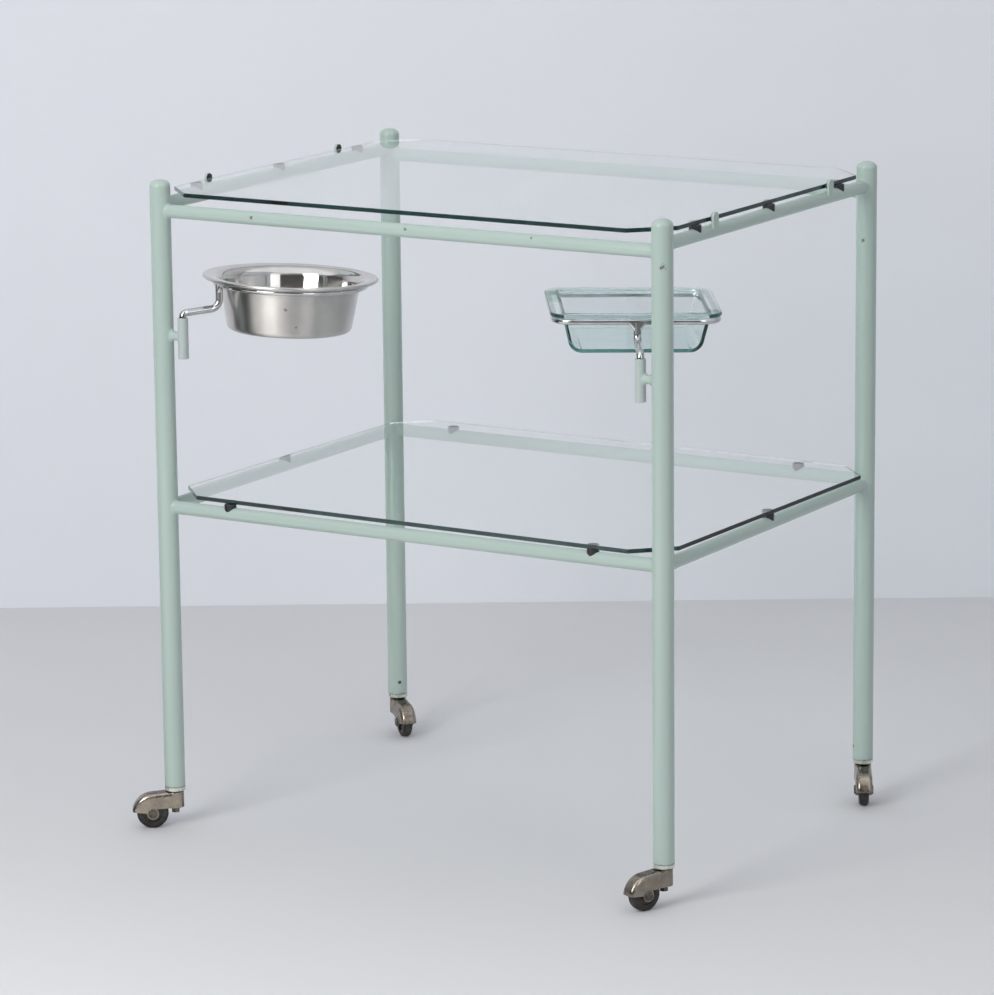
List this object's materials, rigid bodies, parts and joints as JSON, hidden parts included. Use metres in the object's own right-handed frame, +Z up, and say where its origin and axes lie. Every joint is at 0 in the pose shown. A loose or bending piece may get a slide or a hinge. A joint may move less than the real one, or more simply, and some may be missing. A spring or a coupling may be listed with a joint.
{
  "type": "medical trolley",
  "caption": "Tubular medical trolley on swivel castors with two loose glass shelves, a round basin and a square glass dish on swinging rod holders.",
  "frame": {"origin": "on the floor, midway between the four leg axes", "axes": "+X along the long side towards the dish holder, +Y from the front with the two holders towards the back, +Z up"},
  "size_m": [0.7586, 0.5849, 0.798],
  "materials": {
    "frame_paint": "gloss mint green enamel",
    "pad_rubber": "black rubber",
    "shelf_glass": "clear float glass with dark green edges",
    "dish_glass": "clear pressed glass",
    "chrome_rod": "polished chrome",
    "basin_steel": "bright satin stainless steel",
    "ferrule_steel": "pale plated steel",
    "dark_steel": "dark oxidised steel",
    "castor_nickel": "warm nickel plate",
    "wheel_hub": "matt black",
    "tyre": "black rubber"
  },
  "bodies": {
    "frame": {"leg_front_left": "frame_paint", "leg_front_right": "frame_paint", "leg_back_left": "frame_paint", "leg_back_right": "frame_paint", "leg_end_caps": "frame_paint", "glass_stops": "frame_paint", "socket_stubs": "frame_paint", "holder_socket_left": "frame_paint", "holder_socket_right": "frame_paint", "top_rail_front": "frame_paint", "top_rail_back": "frame_paint", "top_rail_left": "frame_paint", "top_rail_right": "frame_paint", "low_rail_front": "frame_paint", "low_rail_back": "frame_paint", "low_rail_left": "frame_paint", "low_rail_right": "frame_paint", "top_glass_pads": "pad_rubber", "low_glass_pads": "pad_rubber", "stop_buffers": "pad_rubber", "castor_ferrules": "ferrule_steel", "thrust_washers": "ferrule_steel", "kingpins": "dark_steel", "kingpin_nuts": "dark_steel", "grub_screws": "dark_steel"},
    "top_glass": {"top_glass": "shelf_glass"},
    "low_glass": {"low_glass": "shelf_glass"},
    "basin": {"basin": "basin_steel"},
    "dish": {"dish": "dish_glass"},
    "basin_holder": {"basin_arm": "chrome_rod", "basin_ring": "chrome_rod"},
    "dish_holder": {"dish_arm": "chrome_rod", "dish_frame": "chrome_rod"},
    "castor_front_left": {"castor_hood_front_left": "castor_nickel", "wheel_axle_front_left": "castor_nickel"},
    "wheel_front_left": {"wheel_hub_front_left": "wheel_hub", "tyre_front_left": "tyre"},
    "castor_front_right": {"castor_hood_front_right": "castor_nickel", "wheel_axle_front_right": "castor_nickel"},
    "wheel_front_right": {"wheel_hub_front_right": "wheel_hub", "tyre_front_right": "tyre"},
    "castor_back_left": {"castor_hood_back_left": "castor_nickel", "wheel_axle_back_left": "castor_nickel"},
    "wheel_back_left": {"wheel_hub_back_left": "wheel_hub", "tyre_back_left": "tyre"},
    "castor_back_right": {"castor_hood_back_right": "castor_nickel", "wheel_axle_back_right": "castor_nickel"},
    "wheel_back_right": {"wheel_hub_back_right": "wheel_hub", "tyre_back_right": "tyre"}
  },
  "joints": [
    {"name": "castor_swivel_front_left", "type": "hinge", "parent": "frame", "child": "castor_front_left", "pos_m": [-0.34, -0.257, 0.0355], "axis": [0, 0, 1], "continuous": true},
    {"name": "wheel_roll_front_left", "type": "hinge", "parent": "castor_front_left", "child": "wheel_front_left", "pos_m": [-0.36265, -0.27346, 0.0193], "axis": [0.5878, -0.809, 0], "continuous": true},
    {"name": "castor_swivel_front_right", "type": "hinge", "parent": "frame", "child": "castor_front_right", "pos_m": [0.34, -0.257, 0.0355], "axis": [0, 0, 1], "continuous": true},
    {"name": "wheel_roll_front_right", "type": "hinge", "parent": "castor_front_right", "child": "wheel_front_right", "pos_m": [0.32773, -0.28217, 0.0193], "axis": [0.8988, -0.4384, 0], "continuous": true},
    {"name": "castor_swivel_back_left", "type": "hinge", "parent": "frame", "child": "castor_back_left", "pos_m": [-0.34, 0.257, 0.0355], "axis": [0, 0, 1], "continuous": true},
    {"name": "wheel_roll_back_left", "type": "hinge", "parent": "castor_back_left", "child": "wheel_back_left", "pos_m": [-0.31887, 0.23863, 0.0193], "axis": [0.6561, 0.7547, 0], "continuous": true},
    {"name": "castor_swivel_back_right", "type": "hinge", "parent": "frame", "child": "castor_back_right", "pos_m": [0.34, 0.257, 0.0355], "axis": [0, 0, 1], "continuous": true},
    {"name": "wheel_roll_back_right", "type": "hinge", "parent": "castor_back_right", "child": "wheel_back_right", "pos_m": [0.35357, 0.23251, 0.0193], "axis": [0.8746, 0.4848, 0], "continuous": true},
    {"name": "basin_holder_swing", "type": "hinge", "parent": "frame", "child": "basin_holder", "pos_m": [-0.3115, -0.257, 0.61], "axis": [0, 0, 1], "range_deg": [-180, 75]},
    {"name": "dish_holder_swing", "type": "hinge", "parent": "frame", "child": "dish_holder", "pos_m": [0.3115, -0.257, 0.61], "axis": [0, 0, 1], "range_deg": [-80, 195]},
    {"name": "basin_lift", "type": "slide", "parent": "basin_holder", "child": "basin", "axis": [0.0296, 0.04, 0.9988], "range_m": [0, 0.065]},
    {"name": "dish_lift", "type": "slide", "parent": "dish_holder", "child": "dish", "axis": [0.0117, 0.0076, 0.9999], "range_m": [0, 0.06]},
    {"name": "top_glass_lift", "type": "slide", "parent": "frame", "child": "top_glass", "axis": [0, 0, 1], "range_m": [0, 0.15]},
    {"name": "low_glass_lift", "type": "slide", "parent": "frame", "child": "low_glass", "axis": [0, 0, 1], "range_m": [0, 0.12]}
  ]
}
